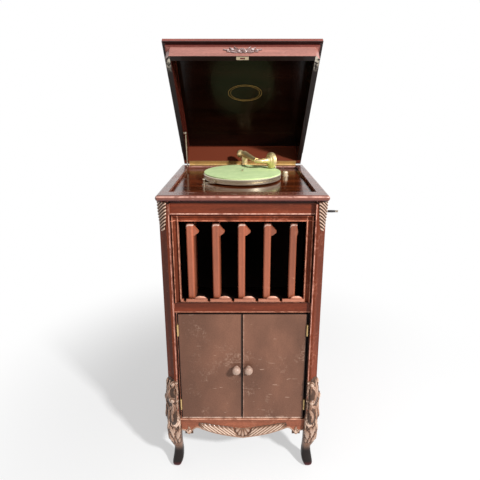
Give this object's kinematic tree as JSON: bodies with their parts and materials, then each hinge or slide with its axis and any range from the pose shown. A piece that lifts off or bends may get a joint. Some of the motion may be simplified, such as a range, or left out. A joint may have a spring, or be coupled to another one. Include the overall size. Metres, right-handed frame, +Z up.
{
  "type": "floor-standing gramophone",
  "caption": "Tall wooden cabinet gramophone with hinged lid, turntable and tone arm, louvred sound chamber, record cupboard and cabriole legs.",
  "frame": {"origin": "on the floor at the middle of the four feet, which is the middle of the caster socket pattern", "axes": "+Z up, +X to the right of the cabinet seen from the front, +Y to the back"},
  "size_m": [0.6562, 0.6559, 1.5582],
  "materials": {
    "wood": "varnished reddish brown, worn",
    "wood_dark": "dark varnished, worn",
    "door_wood": "dull varnish with scratches",
    "louvre_wood": "orange brown varnish",
    "trim_wood": "worn varnish on carving",
    "hidden_wood": "dark stained",
    "brass": "aged polish",
    "nickel": "worn nickel plate",
    "iron": "black enamel",
    "felt": "napped",
    "grip": "turned, black stain"
  },
  "bodies": {
    "cabinet": {"left_side": "wood", "right_side": "wood", "back_panel": "hidden_wood", "cabinet_floor": "hidden_wood", "sound_shelf": "hidden_wood", "top_moulding": "trim_wood", "motor_board": "wood_dark", "top_rail": "wood", "middle_rail": "wood", "grille_frame": "wood", "grille_sill": "wood", "grille_soffit": "hidden_wood", "front_left_leg": "wood_dark", "front_right_leg": "wood_dark", "rear_left_leg": "wood_dark", "rear_right_leg": "wood_dark", "front_apron": "wood_dark", "side_aprons": "wood_dark", "door_stiles": "wood", "record_dividers": "hidden_wood", "horn": "hidden_wood", "horn_elbow": "iron", "case_door_hinges": "brass", "case_lid_hinge": "brass", "stay_track": "nickel", "crank_bush": "brass", "motor_frame": "iron", "arm_base": "brass"},
    "lid": {"lid_frame": "wood", "lid_board_panel": "wood", "lid_crown": "trim_wood", "lid_carving": "trim_wood", "lock_keeper": "nickel", "lid_hinge_leaf": "brass", "stay_pin": "nickel"},
    "stay": {"lid_stay": "nickel"},
    "leaf_1": {"louvre_1": "louvre_wood"},
    "leaf_2": {"louvre_2": "louvre_wood"},
    "leaf_3": {"louvre_3": "louvre_wood"},
    "leaf_4": {"louvre_4": "louvre_wood"},
    "leaf_5": {"louvre_5": "louvre_wood"},
    "link": {"louvre_link": "brass"},
    "door_left": {"left_door": "door_wood", "left_knob": "trim_wood", "left_door_hinges": "brass"},
    "door_right": {"right_door": "door_wood", "right_knob": "trim_wood", "right_door_hinges": "brass"},
    "turntable": {"platter": "nickel", "platter_felt": "felt", "spindle": "nickel"},
    "barrel": {"spring_barrel": "brass"},
    "governor_rotor": {"governor": "brass"},
    "arm": {"tone_arm": "brass"},
    "reproducer": {"sound_box": "brass", "needle_lever": "nickel"},
    "winder": {"crank": "nickel"},
    "winder_grip": {"crank_grip": "grip"},
    "brake": {"brake_lever": "nickel"},
    "regulator": {"speed_knob": "nickel"}
  },
  "joints": [
    {"name": "lid_hinge", "type": "hinge", "parent": "cabinet", "child": "lid", "pos_m": [0, 0.2895, 1.0674], "axis": [1, 0, 0], "range_deg": [0, 50]},
    {"name": "stay_pivot", "type": "hinge", "parent": "lid", "child": "stay", "pos_m": [-0.2362, 0.17849, 1.21836], "axis": [1, 0, 0], "range_deg": [0, 30]},
    {"name": "louvre_turn_1", "type": "hinge", "parent": "cabinet", "child": "leaf_1", "pos_m": [-0.1708, -0.222, 0.83], "axis": [0, 0, -1], "range_deg": [-8, 70]},
    {"name": "louvre_turn_2", "type": "hinge", "parent": "cabinet", "child": "leaf_2", "pos_m": [-0.0854, -0.222, 0.83], "axis": [0, 0, -1], "range_deg": [-8, 70]},
    {"name": "louvre_turn_3", "type": "hinge", "parent": "cabinet", "child": "leaf_3", "pos_m": [0, -0.222, 0.83], "axis": [0, 0, -1], "range_deg": [-8, 70]},
    {"name": "louvre_turn_4", "type": "hinge", "parent": "cabinet", "child": "leaf_4", "pos_m": [0.0854, -0.222, 0.83], "axis": [0, 0, -1], "range_deg": [-8, 70]},
    {"name": "louvre_turn_5", "type": "hinge", "parent": "cabinet", "child": "leaf_5", "pos_m": [0.1708, -0.222, 0.83], "axis": [0, 0, -1], "range_deg": [-8, 70]},
    {"name": "link_pin", "type": "hinge", "parent": "leaf_1", "child": "link", "pos_m": [-0.16857, -0.20616, 0.991], "axis": [0, 0, -1], "range_deg": [-70, 8]},
    {"name": "left_door_hinge", "type": "hinge", "parent": "cabinet", "child": "door_left", "pos_m": [-0.22525, -0.2675, 0.425], "axis": [0, 0, -1], "range_deg": [0, 110]},
    {"name": "right_door_hinge", "type": "hinge", "parent": "cabinet", "child": "door_right", "pos_m": [0.22525, -0.2675, 0.425], "axis": [0, 0, 1], "range_deg": [0, 110]},
    {"name": "platter_spin", "type": "hinge", "parent": "cabinet", "child": "turntable", "pos_m": [0, 0.036, 1.08], "axis": [0, 0, -1], "continuous": true},
    {"name": "barrel_spin", "type": "hinge", "parent": "cabinet", "child": "barrel", "pos_m": [0.075, 0.1, 1], "axis": [0, 0, -1], "continuous": true},
    {"name": "governor_spin", "type": "hinge", "parent": "cabinet", "child": "governor_rotor", "pos_m": [-0.0363, 0.06, 0.988], "axis": [0, 1, 0], "continuous": true},
    {"name": "arm_swing", "type": "hinge", "parent": "cabinet", "child": "arm", "pos_m": [0.0087, 0.226, 1.08], "axis": [0, 0, 1], "range_deg": [-28, 18]},
    {"name": "sound_box_turn", "type": "hinge", "parent": "arm", "child": "reproducer", "pos_m": [0.11505, 0.09402, 1.118], "axis": [-0.8829, -0.4695, 0], "range_deg": [0, 60]},
    {"name": "crank_turn", "type": "hinge", "parent": "cabinet", "child": "winder", "pos_m": [0.28, 0.148, 0.958], "axis": [1, 0, 0], "continuous": true},
    {"name": "grip_spin", "type": "hinge", "parent": "winder", "child": "winder_grip", "pos_m": [0.33, 0.0143, 0.92811], "axis": [1, 0, 0], "continuous": true},
    {"name": "brake_turn", "type": "hinge", "parent": "cabinet", "child": "brake", "pos_m": [-0.1395, -0.08, 1.055], "axis": [0, 0, -1], "range_deg": [0, 15]},
    {"name": "speed_turn", "type": "hinge", "parent": "cabinet", "child": "regulator", "pos_m": [0.172, 0.085, 1.055], "axis": [0, 0, 1], "range_deg": [-60, 60]}
  ],
  "couplings": [
    {"joint": "stay_pivot", "follows": "lid_hinge", "ratio": 0.6},
    {"joint": "louvre_turn_2", "follows": "louvre_turn_1", "ratio": 1},
    {"joint": "louvre_turn_3", "follows": "louvre_turn_1", "ratio": 1},
    {"joint": "louvre_turn_4", "follows": "louvre_turn_1", "ratio": 1},
    {"joint": "louvre_turn_5", "follows": "louvre_turn_1", "ratio": 1},
    {"joint": "link_pin", "follows": "louvre_turn_1", "ratio": -1},
    {"joint": "barrel_spin", "follows": "platter_spin", "ratio": -0.17647},
    {"joint": "governor_spin", "follows": "platter_spin", "ratio": 8}
  ]
}
